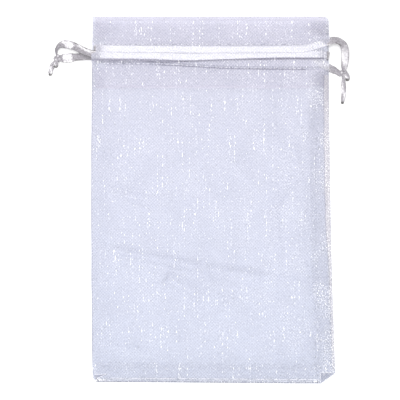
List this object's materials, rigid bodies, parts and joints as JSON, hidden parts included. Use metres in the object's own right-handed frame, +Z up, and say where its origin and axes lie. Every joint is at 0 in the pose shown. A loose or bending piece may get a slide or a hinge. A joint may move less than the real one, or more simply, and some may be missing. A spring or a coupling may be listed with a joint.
{
  "type": "drawstring gift pouch",
  "caption": "Flat rectangular sheer organza gift pouch with a frilled open mouth and a ribbon channel whose two satin drawstrings leave opposite sides in small knotted loops",
  "frame": {"origin": "middle of the pouch cloth in X and Y, on the surface that the back of the pouch lies on; the free ribbon loops, knots and tails are left out of it", "axes": "+Z up out of the front of the lying pouch, +Y along the pouch out of its mouth, +X to the right when the front is seen with the mouth at the top"},
  "size_m": [0.1273, 0.154, 0.0071],
  "materials": {
    "organza": "satin",
    "satin_ribbon": "gloss",
    "sewing_thread": "satin"
  },
  "bodies": {
    "pouch": {"front_panel": "organza", "back_panel": "organza", "front_hem_facing": "organza", "back_hem_facing": "organza", "side_seam_allowance": "organza", "frill_seam_allowance": "organza", "bottom_seam_allowance": "organza", "side_seam_stitch": "sewing_thread", "frill_seam_stitch": "sewing_thread", "bottom_seam_stitch": "sewing_thread", "front_upper_stitch": "sewing_thread", "front_lower_stitch": "sewing_thread", "back_upper_stitch": "sewing_thread", "back_lower_stitch": "sewing_thread"},
    "left_drawstring": {"left_drawstring_front_run": "satin_ribbon", "left_drawstring_back_run": "satin_ribbon", "left_drawstring_turn": "satin_ribbon", "left_drawstring_front_strand": "satin_ribbon", "left_drawstring_back_strand": "satin_ribbon", "left_drawstring_knot": "satin_ribbon", "left_drawstring_long_tail": "satin_ribbon", "left_drawstring_short_tail": "satin_ribbon"},
    "right_drawstring": {"right_drawstring_front_run": "satin_ribbon", "right_drawstring_back_run": "satin_ribbon", "right_drawstring_turn": "satin_ribbon", "right_drawstring_front_strand": "satin_ribbon", "right_drawstring_back_strand": "satin_ribbon", "right_drawstring_knot": "satin_ribbon", "right_drawstring_long_tail": "satin_ribbon", "right_drawstring_short_tail": "satin_ribbon"}
  },
  "joints": [
    {"name": "left_pull", "type": "slide", "parent": "pouch", "child": "left_drawstring", "axis": [-1, 0, 0], "range_m": [0, 0.028], "deforming": ["front_hem_facing", "back_hem_facing"]},
    {"name": "right_pull", "type": "slide", "parent": "pouch", "child": "right_drawstring", "axis": [1, 0, 0], "range_m": [0, 0.028], "deforming": ["front_hem_facing", "back_hem_facing"]}
  ]
}
